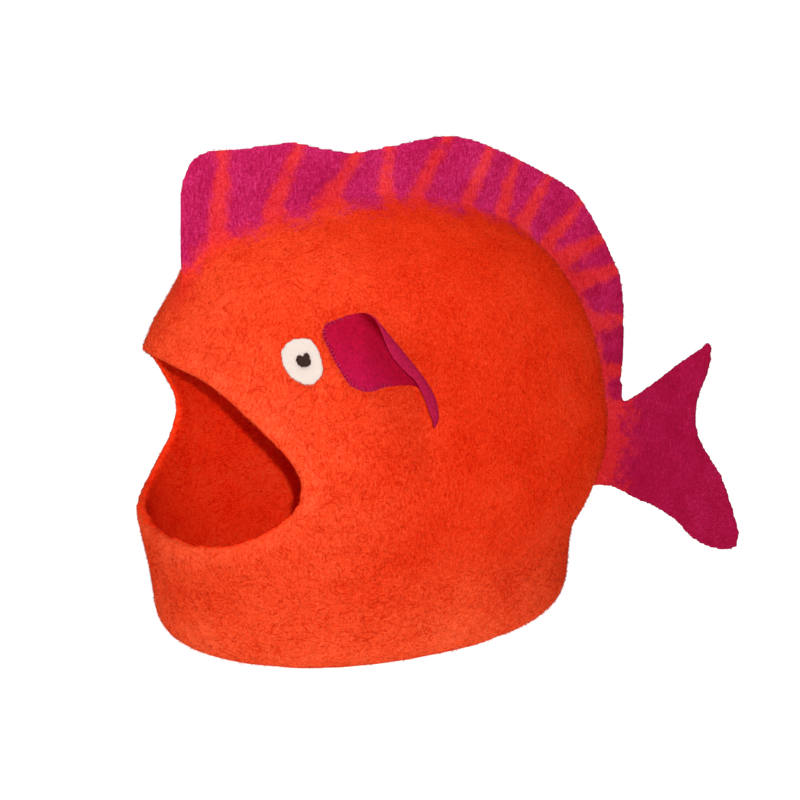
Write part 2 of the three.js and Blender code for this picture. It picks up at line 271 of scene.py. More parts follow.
class NodeBench:
    def __init__(self, name):
        self.material = bpy.data.materials.new(name)
        self.material.use_nodes = True
        self.tree = self.material.node_tree
        self.shader = self.tree.nodes["Principled BSDF"]
        self.coordinates = self.add("ShaderNodeTexCoord").outputs["Object"]

    def add(self, kind, settings=None, **values):
        node = self.tree.nodes.new(kind)
        for name, value in (settings or {}).items():
            setattr(node, name, value)
        for name, value in values.items():
            self.give(node.inputs[name.replace("_", " ")], value)
        return node

    def give(self, socket, value):
        if isinstance(value, bpy.types.NodeSocket):
            self.tree.links.new(value, socket)
        else:
            socket.default_value = value

    def sum(self, kind, a, b=0.0):
        node = self.tree.nodes.new("ShaderNodeMath")
        node.operation = kind
        self.give(node.inputs[0], a)
        self.give(node.inputs[1], b)
        return node.outputs[0]

    # How far a value lies from its middle, times an amount.
    def swing(self, value, amount, middle=0.5):
        return self.sum("MULTIPLY", self.sum("SUBTRACT", value, middle), amount)

    def value(self, name):
        return self.add("ShaderNodeAttribute", {"attribute_name": name}).outputs["Fac"]

    def noise(self, scale, detail=2.0, roughness=0.5, stretch=None, distortion=0.0):
        coordinates = self.coordinates
        if stretch:
            mapping = self.add("ShaderNodeMapping", Vector=self.coordinates, Scale=stretch)
            coordinates = mapping.outputs["Vector"]
        node = self.add("ShaderNodeTexNoise", Vector=coordinates, Scale=scale, Detail=detail,
                        Roughness=roughness, Distortion=distortion)
        return node.outputs["Fac"]

    def ramp(self, value, low, high, start=0.0, end=1.0):
        node = self.add("ShaderNodeMapRange", {"interpolation_type": "SMOOTHSTEP"})
        for socket, amount in zip(node.inputs, (value, low, high, start, end)):
            self.give(socket, amount)
        return node.outputs["Result"]

    def fade(self, name, places):
        return self.ramp(self.value(name), *places)

    def mix(self, share, a, b, blend="MIX"):
        node = self.add("ShaderNodeMix", {"data_type": "RGBA", "blend_type": blend})
        self.give(node.inputs["Factor"], share)
        self.give(node.inputs[6], a)
        self.give(node.inputs[7], b)
        return node.outputs[2]

    def bump(self, height, strength, distance):
        node = self.add("ShaderNodeBump", Height=height, Strength=strength, Distance=distance)
        self.give(self.shader.inputs["Normal"], node.outputs["Normal"])

    def shaded(self, colour, shade):
        grey = self.add("ShaderNodeCombineColor", Red=shade, Green=shade, Blue=shade).outputs["Color"]
        return self.mix(1.0, colour, grey, "MULTIPLY")

    def finish(self, colour):
        self.give(self.shader.inputs["Base Color"], colour)
        self.shader.inputs["Roughness"].default_value = feltRoughness
        self.shader.inputs["Specular IOR Level"].default_value = 0.0
        return self.material


# The wool's colours are linear red, green and blue. Each has a light, a middle and a pit tone,
# because light that bounces about in the pits of the felt makes them redder, not greyer.
wool = {
    "orange": ((0.655, 0.043, 0.012, 1), (0.575, 0.022, 0.0042, 1), (0.455, 0.009, 0.0014, 1)),
    # pale: lighter felt, painted light over the lit front and round the base.
    "pale": ((0.79, 0.108, 0.043, 1), (0.71, 0.068, 0.0195, 1), (0.58, 0.030, 0.0070, 1)),
    # rim: paler felt along the mouth's rounded edge, a painted sheen.
    "rim": ((0.76, 0.090, 0.034, 1), (0.69, 0.055, 0.0160, 1), (0.58, 0.026, 0.0060, 1)),
    # inner: the orange made brighter, painted light inside the den.
    "inner": ((0.99, 0.078, 0.022, 1), (0.99, 0.040, 0.0075, 1), (0.86, 0.014, 0.0020, 1)),
    "root": ((0.67, 0.038, 0.019, 1), (0.59, 0.020, 0.0105, 1), (0.47, 0.009, 0.0060, 1)),
    "ray": ((0.71, 0.050, 0.039, 1), (0.61, 0.026, 0.0230, 1), (0.49, 0.011, 0.0120, 1)),
    "magenta": ((0.50, 0.026, 0.130, 1), (0.39, 0.0095, 0.070, 1), (0.30, 0.005, 0.046, 1)),
    "crimson": ((0.36, 0.012, 0.058, 1), (0.285, 0.0042, 0.034, 1), (0.24, 0.0030, 0.026, 1)),
    "pitTone": (0.18, 0.5),
    "lightTone": (0.55, 0.9),
    "middleTone": 0.52,
    "rayShare": 0.82,
    "edgeBlend": 0.0048,
    "edgeWander": ((60.0, 0.012), (210.0, 0.010)),  # scale and amount
    "nubScale": 620.0,
    "streakScale": 560.0,
    "upright": (1.0, 1.0, 0.38),
    "lying": (0.45, 0.45, 1.0),
    "lyingFrom": (0.3, 0.7),
    "grainScale": 1500.0,
    "broadScale": 22.0,
    "feltTone": 2.2,
    "broadTone": 0.7,
    "grainTone": 0.9,
    "creaseScale": 62.0,
    "creaseStretch": (0.8, 0.8, 1.0),
    "creaseHalf": 0.020,
    "creaseShade": 0.34,
    "nubDepth": 0.0007,
    "grainHeight": 0.35,
    "creaseHeight": 0.3,
    "crimsonScale": 45.0,
    "crimsonWander": (0.4, 0.75, -0.25, 0.3),
    "dyedContrast": (0.3, 0.9, 1.25, 0.85),
}
# Each share on the points that lays a wool over the orange one, in this order.
woolLayers = [("paleLitWool", "pale"), ("rimSheenWool", "rim"), ("innerLitWool", "inner"), ("rootWool", "root"),
              ("finShare", "ray")]


def tonedWool(bench, name, tone):
    light, middle, pit = wool[name]
    dark = bench.mix(bench.ramp(tone, *wool["pitTone"]), pit, middle)
    return bench.mix(bench.ramp(tone, *wool["lightTone"]), dark, light)


# The tone of the felt's nubs and streaks, painted shade along its creases, and the height that its bump
# follows.
def feltRelief(bench):
    nubs = bench.noise(wool["nubScale"], 2.0, 0.6)
    streaks = bench.noise(wool["streakScale"], 2.0, 0.6, stretch=wool["upright"])
    swirls = bench.noise(wool["streakScale"], 2.0, 0.6, stretch=wool["lying"])
    grain = bench.noise(wool["grainScale"], 1.0, 0.6)
    broad = bench.noise(wool["broadScale"], 3.0, 0.55)
    lying = bench.fade("swirl", wool["lyingFrom"])
    lie = bench.add("ShaderNodeMix", {"data_type": "FLOAT"}, Factor=lying)
    bench.give(lie.inputs[2], streaks)
    bench.give(lie.inputs[3], swirls)
    felt = bench.sum("MULTIPLY", bench.sum("ADD", nubs, lie.outputs[0]), 0.5)
    contour = bench.noise(wool["creaseScale"], 3.0, 0.6, stretch=wool["creaseStretch"], distortion=0.8)
    line = bench.sum("ABSOLUTE", bench.sum("SUBTRACT", contour, 0.5))
    crease = bench.sum("MULTIPLY", bench.ramp(line, 0.0, wool["creaseHalf"], 1.0, 0.0),
                       bench.value("crease"))
    tone = bench.sum("ADD", bench.value("tone"), wool["middleTone"])
    for layer, amount in ((felt, wool["feltTone"]), (broad, wool["broadTone"]), (grain, wool["grainTone"])):
        tone = bench.sum("ADD", tone, bench.swing(layer, amount))
    # Painted shade: darker along the creases.
    tone = bench.sum("SUBTRACT", tone, bench.sum("MULTIPLY", crease, wool["creaseShade"]))
    height = bench.sum("ADD", felt, bench.sum("MULTIPLY", grain, wool["grainHeight"]))
    height = bench.sum("SUBTRACT", height, bench.sum("MULTIPLY", crease, wool["creaseHeight"]))
    return tone, height


# How much dyed wool lies at each place, with a ragged edge between the two wools.
def dyedShare(bench):
    wander = 0.0
    for scale, amount in wool["edgeWander"]:
        wander = bench.sum("ADD", bench.swing(bench.noise(scale, 3.0, 0.6), amount), wander)
    edge = wool["edgeBlend"]
    fin = bench.ramp(bench.sum("ADD", bench.value("finWool"), wander), -edge, edge)
    ray = bench.ramp(bench.sum("ADD", bench.value("rayWool"), wander), -edge, edge, wool["rayShare"], 0.0)
    share = bench.sum("MULTIPLY", fin, bench.sum("SUBTRACT", 1.0, ray))
    return bench.sum("MAXIMUM", share, bench.value("leastDye"))


def feltedWool():
    bench = NodeBench("feltedWool")
    tone, height = feltRelief(bench)
    body = tonedWool(bench, "orange", tone)
    for share, name in woolLayers:
        body = bench.mix(bench.value(share), body, tonedWool(bench, name, tone))
    patches = bench.ramp(bench.noise(wool["crimsonScale"], 3.0), *wool["crimsonWander"])
    deep = bench.sum("ADD", bench.value("crimson"), patches)
    contrast = bench.fade("crimson", wool["dyedContrast"])
    calm = bench.sum("ADD", bench.swing(tone, contrast, wool["middleTone"]), wool["middleTone"])
    dyed = bench.mix(bench.ramp(deep, 0.0, 1.0), tonedWool(bench, "magenta", calm),
                     tonedWool(bench, "crimson", calm))
    bench.bump(height, 1.0, wool["nubDepth"])
    return bench.finish(bench.mix(dyedShare(bench), body, dyed))


# Felt skin: the body with its back fin and tail fin, felted together in one piece

feltSkin = {
    "voxel": 0.0025,
    "wallPasses": 45,
    "rimPasses": 7,
    "finPasses": 5,
    "finStart": (0.003, 0.009),  # height above the wall where the fins begin
    "wallStart": (0.0072, 0.0168),  # distance from the mouth's edge and the fins
    "denMiddle": (0.0, 0.0, 0.17),
    "insideMargin": 0.0045,
    "lumps": ((0.07, 0.0024, 0.3), (0.020, 0.0010, 0.5)),  # size, depth and share left on the fins
    # Where the eyes and side fins lie, lengthways and upwards, with how flat the felt is there.
    "patchX": (-0.180, -0.150, 0.020, 0.050),
    "patchZ": (0.160, 0.190, 0.300, 0.330),
    "patchFlat": 0.9,
    "triangles": 194000,
    "flat": (0.75, 0.95),
    "area": 0.53,
}
# The mouth's edge in the side view, from the upper lip round the corner to the lower lip.
mouthEdge = [
    (-0.230, 0.280), (-0.187, 0.254), (-0.176, 0.247), (-0.163, 0.235), (-0.139, 0.205),
    (-0.129, 0.190), (-0.124, 0.173), (-0.129, 0.154), (-0.145, 0.136), (-0.164, 0.121),
    (-0.184, 0.112), (-0.200, 0.108), (-0.230, 0.105),
]
# Places on the back fin are given round a hub inside the body, as degrees above the tail's
# direction and metres from the hub. Each orange ray runs from its first place, at the fin's edge,
# to its second, at the fin's root.
finHub = {"x": 0.010, "z": 0.170}
finRays = [
    ((117.2, 0.296), (126.0, 0.245)),
    ((104.8, 0.268), (117.5, 0.218)),
    ((92.5, 0.252), (105.0, 0.206)),
    ((86.0, 0.252), (87.6, 0.208)),
    ((74.5, 0.264), (79.6, 0.208)),
    ((64.8, 0.272), (65.4, 0.214)),
    ((58.3, 0.276), (55.6, 0.225)),
    ((50.2, 0.284), (49.5, 0.234)),
    ((41.7, 0.286), (41.3, 0.244)),
    ((33.6, 0.288), (35.4, 0.250)),
    ((26.4, 0.288), (28.6, 0.254)),
    ((16.1, 0.282), (17.7, 0.254)),
    ((5.9, 0.274), (6.6, 0.248)),
]
rayHalf = {"edge": 0.0042, "root": 0.0085, "pastEdge": 0.5, "pastRoot": 1.6}
# Where the magenta wool starts, over the same angles, from the tail forwards.
finWoolStart = [
    (-10.0, 0.247), (9.6, 0.247), (19.0, 0.247), (25.7, 0.240), (34.4, 0.244), (41.1, 0.231),
    (52.6, 0.222), (60.2, 0.217), (71.7, 0.208), (82.5, 0.205), (92.4, 0.203), (99.5, 0.206),
    (107.3, 0.209), (115.4, 0.215), (121.9, 0.221), (125.4, 0.226), (130.9, 0.237), (133.7, 0.240),
    (136.4, 0.233), (138.5, 0.235), (141.0, 0.262), (180.0, 0.400),
]
finColour = {
    "furthest": 0.05, "backSoft": 0.55, "backEnd": -10.0,
    "tailStart": 0.277, "tailLean": 0.08, "tailMiddle": 0.13, "tailSoft": 0.22,
    "leastOnTail": 0.42, "tailRootShare": 0.3, "leastBehind": 0.30, "rayBehind": 0.8,
    "backCrimson": 0.72, "tailCrimson": 0.95,
}
# How much paler wool, painted light, lies round the base and over the front: lighter where the lamps and the
# floor's light fall, less behind.
paleLitShare = {"height": 0.14, "power": 1.4, "behind": 0.4, "front": 0.48}
nearFinShare = 0.75
leastCrease = 0.15
# Where the wools and marks start and end.
woolFade = {
    "rim": (0.008, 0.020),  # metres from the mouth's edge
    "nearFin": (0.0, 0.030),  # metres from the fins
    "toTail": (-0.010, 0.010),  # metres nearer to the tail fin than to the back fin
    "finFoot": (0.002, 0.012), "tailFoot": (0.002, 0.010),  # metres off the wall
    "crimsonFoot": (0.0, 0.006), "plainFoot": (0.001, 0.009),
    "paleBehind": (0.0, 0.2), "paleFront": (-0.16, 0.03),  # metres along the bed
    "creaseFront": (-0.10, 0.06), "tailRoot": (0.225, 0.285),
    "low": (0.06, 0.11),  # metres above the floor
    "behind": (22.0, 60.0), "crimson": (5.0, 75.0),  # degrees round the hub
}
# Corners of the fins that felting rounds off: place in the side view, reach and passes.
finTips = [((0.364, 0.221), 0.012, 4), ((0.404, 0.027), 0.018, 12), ((-0.158, 0.413), 0.016, 7)]
# The wall rises into the root of the back fin.
finRoot = {"rise": 0.010, "reach": 0.018, "ends": (4.0, 12.0, 130.0, 140.0)}
# Felt between the end of the back fin and the tail, and between the tail's lower corner and the body.
finBridges = [
    {"low": (0.214, -0.0035, 0.160), "high": (0.280, 0.0035, 0.186)},
    {"low": (0.186, -0.0035, 0.0885), "high": (0.226, 0.0035, 0.1240)},
]
# The round end of the tail's upper tip.
tailTip = {"middle": (0.3636, -0.0250, 0.2162), "half": (0.0064, 0.0038, 0.0066)}


def aroundHub(angle, radius):
    turn = math.radians(angle)
    return finHub["x"] + radius * math.cos(turn), finHub["z"] + radius * math.sin(turn)


def distanceToPath(places, path):
    best = np.full(len(places), 1e9)
    for start, end in zip(path[:-1], path[1:]):
        a, b = np.array(start), np.array(end)
        share = np.clip(((places - a) @ (b - a)) / ((b - a) @ (b - a)), 0, 1)
        best = np.minimum(best, np.linalg.norm(places - a - share[:, None] * (b - a), axis=1))
    return best


# 1 on the inner face of the body's wall, 0 outside.
def insideOf(points, shellTree):
    middle = Vector(feltSkin["denMiddle"])
    inside = np.zeros(len(points))
    for index, point in enumerate(points.tolist()):
        away = Vector(point) - middle
        length = away.length
        hit = shellTree.ray_cast(middle, away / length, length - feltSkin["insideMargin"])[0]
        inside[index] = hit is None
    return inside


def hubPlaces(points):
    across, up = points[:, 0] - finHub["x"], points[:, 2] - finHub["z"]
    return np.degrees(np.arctan2(up, across)), np.hypot(across, up)


# Evens out a value on every point towards its neighbours, as far as each point's weight lets it.
def evened(values, edges, passes, weights):
    count = len(values)
    ends = np.concatenate([edges[:, 0], edges[:, 1]])
    starts = np.concatenate([edges[:, 1], edges[:, 0]])
    share = (0.5 * weights / np.maximum(np.bincount(ends, minlength=count), 1))[:, None]
    for _ in range(passes):
        near = np.column_stack([np.bincount(ends, column[starts] - column[ends], count)
                                for column in values.T])
        values = values + share * near
    return values


# Smooths a shape without shrinking it: what the smoothing took off is smoothed too and put back.
def relaxed(points, edges, passes, weights):
    smooth = evened(points, edges, passes, weights)
    return smooth + evened(points - smooth, edges, passes, weights)


def addBridges(skin):
    deselectAll()
    added = [skin]
    for bridge in finBridges:
        low, high = Vector(bridge["low"]), Vector(bridge["high"])
        bpy.ops.mesh.primitive_cube_add(size=1, location=(low + high) / 2, scale=high - low)
        added.append(bpy.context.object)
    bpy.ops.mesh.primitive_uv_sphere_add(segments=20, ring_count=12, radius=1, location=tailTip["middle"],
                                         scale=tailTip["half"])
    added.append(bpy.context.object)
    for piece in added:
        piece.select_set(True)
    bpy.context.view_layer.objects.active = skin
    bpy.ops.object.join()


# Smooths the walls most, and the mouth's edge and the fins less, rounds the fins' corners and raises
# the wall into the back fin's root. Returns 1 on the fins and 0 on the body.
def smoothFelt(skin, shellTree, dorsalTree, tailTree):
    points, edges = pointsOf(skin), edgesOf(skin)
    aboveShell = distancesTo(shellTree, points)
    toFins = np.minimum(distancesTo(dorsalTree, points), distancesTo(tailTree, points))
    toRim = distanceToPath(points[:, [0, 2]], mouthEdge)
    onFin = smoothStep(*feltSkin["finStart"], aboveShell)
    wall = smoothStep(*feltSkin["wallStart"], np.minimum(toRim, toFins)) * (1 - onFin)
    points = relaxed(points, edges, feltSkin["finPasses"], np.ones(len(points)))
    points = relaxed(points, edges, feltSkin["rimPasses"], 1 - onFin)
    points = relaxed(points, edges, feltSkin["wallPasses"], wall)
    for tip, reach, passes in finTips:
        nearTip = 1 - smoothStep(0.3 * reach, reach, np.linalg.norm(points[:, [0, 2]] - tip, axis=1))
        points = evened(points, edges, passes, nearTip * onFin)
    angle, radius = hubPlaces(points)
    toRoot = np.hypot(points[:, 1], aboveShell)
    rise = finRoot["rise"] * np.exp(-toRoot / finRoot["reach"]) * between(*finRoot["ends"], angle)
    rise *= 1 - insideOf(points, shellTree)
    points[:, 0] += rise * np.cos(np.radians(angle))
    points[:, 2] += rise * np.sin(np.radians(angle))
    setPoints(skin, points)
    return onFin


# Uneven felt, shallower on the fins and almost flat under the eyes and side fins.
def addLumps(skin, onFin):
    points = pointsOf(skin)
    inPatch = between(*feltSkin["patchX"], points[:, 0]) * between(*feltSkin["patchZ"], points[:, 2])
    for number, (size, depth, finShare) in enumerate(feltSkin["lumps"]):
        texture = bpy.data.textures.new(f"feltLumps{number}", "CLOUDS")
        texture.noise_scale = size
        texture.noise_depth = 1
        setWeights(skin, "lumps", (1 - (1 - finShare) * onFin) * (1 - feltSkin["patchFlat"] * inPatch))
        applyModifier(skin, "DISPLACE", texture=texture, strength=depth, mid_level=0.5,
                      texture_coords="LOCAL", vertex_group="lumps")
    skin.vertex_groups.clear()


# How far each place in the side view lies outside the nearest orange ray, less than 0 within one.
def pastRays(side):
    past = np.full(len(side), 1.0)
    for ray in finRays:
        edge, root = [np.array(aroundHub(*place)) for place in ray]
        run = ((side - edge) @ (root - edge)) / ((root - edge) @ (root - edge))
        middle = edge + np.clip(run, -rayHalf["pastEdge"], rayHalf["pastRoot"])[:, None] * (root - edge)
        widening = np.clip(run, 0, rayHalf["pastRoot"])
        half = rayHalf["edge"] + (rayHalf["root"] - rayHalf["edge"]) * widening
        past = np.minimum(past, np.linalg.norm(side - middle, axis=1) - half)
    return past


def faded(name, value):
    return smoothStep(*woolFade[name], value)


# The point values that the wool's colours follow.
def setFeltValues(skin, shellTree, dorsalTree, tailTree):
    points = pointsOf(skin)
    aboveShell = distancesTo(shellTree, points)
    toDorsal, toTail = distancesTo(dorsalTree, points), distancesTo(tailTree, points)
    toRim = distanceToPath(points[:, [0, 2]], mouthEdge)
    angle, radius = hubPlaces(points)
    inside = insideOf(points, shellTree)
    furthest = finColour["furthest"]
    isTail = faded("toTail", toDorsal - toTail) * (points[:, 0] > 0)

    starts = np.array(finWoolStart)
    backWool = (radius - np.interp(angle, starts[:, 0], starts[:, 1])) * finColour["backSoft"]
    backWool = np.where(angle < finColour["backEnd"], -furthest, backWool)
    lean = finColour["tailLean"] * (points[:, 2] - finColour["tailMiddle"])
    tailWool = (points[:, 0] - finColour["tailStart"] - lean) * finColour["tailSoft"]
    setValue(skin, "finWool", np.clip(backWool + (tailWool - backWool) * isTail, -furthest, furthest))
    rayWool = pastRays(points[:, [0, 2]]) + furthest * isTail
    setValue(skin, "rayWool", np.clip(rayWool, -furthest, furthest))

    # Painted light: paler towards the floor and over the front, less behind.
    upBase = np.clip(points[:, 2], 0, paleLitShare["height"]) / paleLitShare["height"]
    base = (1 - upBase) ** paleLitShare["power"] * (1 - paleLitShare["behind"] * faded("paleBehind", points[:, 0]))
    front = paleLitShare["front"] * (1 - faded("paleFront", points[:, 0]))
    setValue(skin, "paleLitWool", np.maximum(base, front) * (1 - inside))
    # Painted sheen along the mouth's edge.
    setValue(skin, "rimSheenWool", (1 - faded("rim", toRim)) * (1 - inside))
    # Painted light: the inside of the den takes the brighter inner wool.
    setValue(skin, "innerLitWool", inside)

    behindNow = 1 - faded("behind", angle)
    onBack = faded("finFoot", aboveShell) * (1 - isTail) * (1 - inside)
    setValue(skin, "finShare", onBack * (1 - finColour["rayBehind"] * behindNow))
    onTail = faded("tailFoot", aboveShell) * isTail
    onFin = faded("plainFoot", aboveShell) * (1 - inside)
    nearFin = (1 - faded("nearFin", np.minimum(toDorsal, toTail))) * (1 - inside)
    setValue(skin, "rootWool", np.maximum(onTail, nearFinShare * nearFin))
    crimson = finColour["backCrimson"] * (1 - faded("crimson", angle)) * faded("crimsonFoot", aboveShell)
    setValue(skin, "crimson", crimson + (finColour["tailCrimson"] * onTail - crimson) * isTail)
    backDye = finColour["leastBehind"] * behindNow * onFin
    rootShare = finColour["tailRootShare"]
    pastRoot = rootShare + (1 - rootShare) * faded("tailRoot", points[:, 0])
    tailDye = finColour["leastOnTail"] * onTail * pastRoot
    setValue(skin, "leastDye", backDye + (tailDye - backDye) * isTail)

    low = 1 - faded("low", points[:, 2])
    frontal = np.maximum(1 - faded("creaseFront", points[:, 0]), inside)
    setValue(skin, "swirl", np.maximum(low, inside))
    # The creases and their painted shade: strongest at the front, low down and inside, weaker elsewhere,
    # none on the fins.
    setValue(skin, "crease", np.clip(np.maximum(frontal, low), leastCrease, 1) * (1 - onFin))
    setValue(skin, "tone", np.zeros(len(points)))


def addFeltSkin(material):
    nodes = ("felt_shell", "dorsal_fin", "tail_fin")
    skin = copyOfNodes("felt_skin", nodes)
    addBridges(skin)
    applyModifier(skin, "REMESH", mode="VOXEL", voxel_size=feltSkin["voxel"], use_smooth_shade=True)
    trees = [treeOf(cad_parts[node]) for node in nodes]
    onFin = smoothFelt(skin, *trees)
    addLumps(skin, onFin)
    ratio = feltSkin["triangles"] / len(trianglesOf(skin))
    if ratio < 1:
        applyModifier(skin, "DECIMATE", ratio=ratio, use_collapse_triangulate=True)
    points = pointsOf(skin)
    points[:, 2] = np.maximum(points[:, 2], 0)  # flat where it rests on the floor
    setPoints(skin, points)
    setFeltValues(skin, *trees)
    dress(skin, material)
    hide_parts("felt_shell", "dorsal_fin", "tail_fin")
    say(f"felt skin with {len(trianglesOf(skin))} triangles")
    return skin


# Loose fibres that lie on the felt and stand a little off it

fuzz = {
    "seed": 7,
    "pieces": 4,
    "fibresEach": 38000,
    "length": (0.0016, 0.0042),
    "width": (0.00024, 0.00046),
    "lift": (8.0, 60.0),
    "sink": 0.0003,
    "colourWander": 0.0014,
    "middle": (0.0, 0.0, 0.18),  # faces turned towards it are inside the body
    "insideShare": 0.5,
    "floorClear": 0.004,
    "tipClear": 0.0002,
    "tone": (-0.35, 0.50),
    "stray": 0.75,
    "hang": 0.9,
    "flatness": 0.7,
    "normalSpread": 0.28,
}
feltValues = ("finWool", "rayWool", "paleLitWool", "rimSheenWool", "innerLitWool", "rootWool", "finShare",
              "leastDye", "crimson", "swirl", "crease")


# Along the felt, in broad swirls that hang down a little, each fibre straying from them by itself.
def fibreDirections(places, normals, random):
    x, y, z = places.T
    swirl = np.stack([
        np.sin(z * 31 + 3 * np.sin(x * 23)),
        np.sin(x * 27 + 3 * np.sin(z * 19)),
        np.sin(y * 29 + z * 33) - fuzz["hang"],
    ], axis=1)
    along = swirl + fuzz["stray"] * random.normal(size=places.shape)
    along -= normals * (along * normals).sum(1, keepdims=True)
    return unit(along)


# Closed slivers, each a thin three-sided spike. They are lit as the felt below them is.
def slivers(name, starts, ways, lengths, widths, up, random):
    count = len(starts)
    sideways = unit(np.cross(ways, up))
    over = np.cross(sideways, ways)
    tips = starts + ways * lengths
    tips[:, 2] = np.maximum(tips[:, 2], fuzz["tipClear"])
    corners = np.stack([starts + sideways * widths / 2, starts - sideways * widths / 2,
                        starts + over * widths * fuzz["flatness"], tips], axis=1)
    first = (np.arange(count) * 4)[:, None, None]
    faces = first + np.array([[0, 2, 1], [0, 1, 3], [1, 2, 3], [2, 0, 3]])[None]
    piece = meshFromArrays(name, corners.reshape(-1, 3), faces.reshape(-1, 3))
    soft = unit(up + random.normal(0, fuzz["normalSpread"], up.shape))
    piece.data.normals_split_custom_set_from_vertices(np.repeat(soft, 4, axis=0).tolist())
    return piece


# Slivers all over a piece, by a chance for each of its triangles. They take on its point values.
def fibresOn(base, name, count, chance, valueNames, random, length, width, lift):
    points, normals, triangles = pointsOf(base), normalsOf(base), trianglesOf(base)
    chosen = random.choice(len(triangles), count, p=chance / chance.sum())
    share = random.random((count, 2))
    flip = share.sum(axis=1) > 1
    share[flip] = 1 - share[flip]
    weights = np.column_stack([1 - share.sum(axis=1), share])[:, :, None]
    roots = (points[triangles[chosen]] * weights).sum(axis=1)
    up = unit((normals[triangles[chosen]] * weights).sum(axis=1))
    along = fibreDirections(roots, up, random)
    raised = np.radians(random.uniform(*lift, count))[:, None]
    ways = along * np.cos(raised) + up * np.sin(raised)
    lengths = random.uniform(*length, count)[:, None]
    widths = random.uniform(*width, count)[:, None]
    piece = slivers(name, roots - up * fuzz["sink"], ways, lengths, widths, up, random)
    for valueName in valueNames:
        values = arrayOf(base.data.attributes[valueName].data, "value", 1)
        held = (values[triangles[chosen]] * weights).sum(axis=(1, 2))
        if valueName in ("finWool", "rayWool"):
            held = held + random.normal(0, fuzz["colourWander"], count)
        setValue(piece, valueName, np.repeat(held, 4))
    setValue(piece, "tone", np.repeat(random.uniform(*fuzz["tone"], count), 4))
    return piece


def areasOf(obj):
    corners = pointsOf(obj)[trianglesOf(obj)]
    cross = np.cross(corners[:, 1] - corners[:, 0], corners[:, 2] - corners[:, 0])
    return np.linalg.norm(cross, axis=1) / 2, corners.mean(axis=1), unit(cross)


def addFuzz(skin, material):
    random = np.random.default_rng(fuzz["seed"])
    areas, middle, facing = areasOf(skin)
    outside = ((middle - np.array(fuzz["middle"])) * facing).sum(axis=1) > 0
    chance = areas * np.where(outside, 1.0, fuzz["insideShare"])
    chance *= middle[:, 2] > fuzz["floorClear"]
    pieces = []
    for number in range(fuzz["pieces"]):
        piece = fibresOn(skin, f"wool_fuzz_{number + 1}", fuzz["fibresEach"], chance, feltValues,
                         random, fuzz["length"], fuzz["width"], fuzz["lift"])
        dress(piece, material)
        pieces.append(piece)
    say(f"{fuzz['pieces'] * fuzz['fibresEach']} fibres")
    return pieces


# Side fins: a cut leaf of thin felt, sewn on in front of its fold and curled off the body behind it

sideFin = {
    "fold": (-0.0435, 0.2585), "tilt": 56.0, "droop": 0.0190, "droopPower": 4,
    "tipAlong": 0.056, "radius": 0.0098,
    "thickness": 0.0026, "gap": 0.0004, "columns": 80, "rows": 110, "voxel": 0.0007, "smoothing": 3,
    "keep": 0.45,
    "flat": (0.063, 0.109), "area": 0.0044,
    "nap": 2500, "seed": 11, "napLength": (0.0006, 0.0018), "napWidth": (0.00012, 0.00024),
    "napLift": (5.0, 45.0),
}
leafValues = ("outerFace", "toEdge", "across", "along", "press")
# The leaf's outline across and along its fold line, each side from its first corner to the next.
leafFront = [(-0.0214, -0.0530), (-0.0250, -0.0504), (-0.0278, -0.0458), (-0.0322, -0.032),
             (-0.0350, -0.018), (-0.0356, -0.009), (-0.0308, 0.0)]
leafTop = [(-0.0214, -0.0530), (-0.0186, -0.0536), (-0.0143, -0.0529), (-0.0077, -0.0509),
           (0.0005, -0.0486)]
leafRear = [(0.0005, -0.0486), (0.0090, -0.0438), (0.0165, -0.0365), (0.0250, -0.0255),
            (0.031, -0.010), (0.031, 0.006), (0.0295, 0.015), (0.0310, 0.026), (0.0320, 0.040),
            (0.0285, 0.0520)]
leafBottom = [(-0.0308, 0.0), (-0.0245, 0.0045), (-0.0135, 0.0085), (0.003, 0.020), (0.011, 0.033),
              (0.0165, 0.046), (0.0285, 0.0520)]
wallFit = {"x": (-0.165, 0.040), "z": (0.170, 0.320), "steps": 26, "degree": 5, "least": 0.06,
           "unit": 0.1, "slopeStep": 0.001}


def runAlong(path):
    return np.concatenate([[0], np.cumsum(np.linalg.norm(np.diff(path, axis=0), axis=1))])


# A smooth curve through the corners, at shares of its length from 0 to 1.
def smoothPath(corners, shares, steps=30):
    path = np.array(corners, float)
    path = np.vstack([2 * path[0] - path[1], path, 2 * path[-1] - path[-2]])
    t = np.linspace(0, 1, steps, endpoint=False)[:, None]
    fine = []
    for a, b, c, d in zip(path, path[1:], path[2:], path[3:]):
        bend = (2 * a - 5 * b + 4 * c - d) * t ** 2 + (3 * b - a - 3 * c + d) * t ** 3
        fine.append(b + ((c - a) * t + bend) / 2)
    fine = np.vstack(fine + [path[-2:-1]])
    run = runAlong(fine)
    return np.column_stack([np.interp(shares * run[-1], run, column) for column in fine.T])


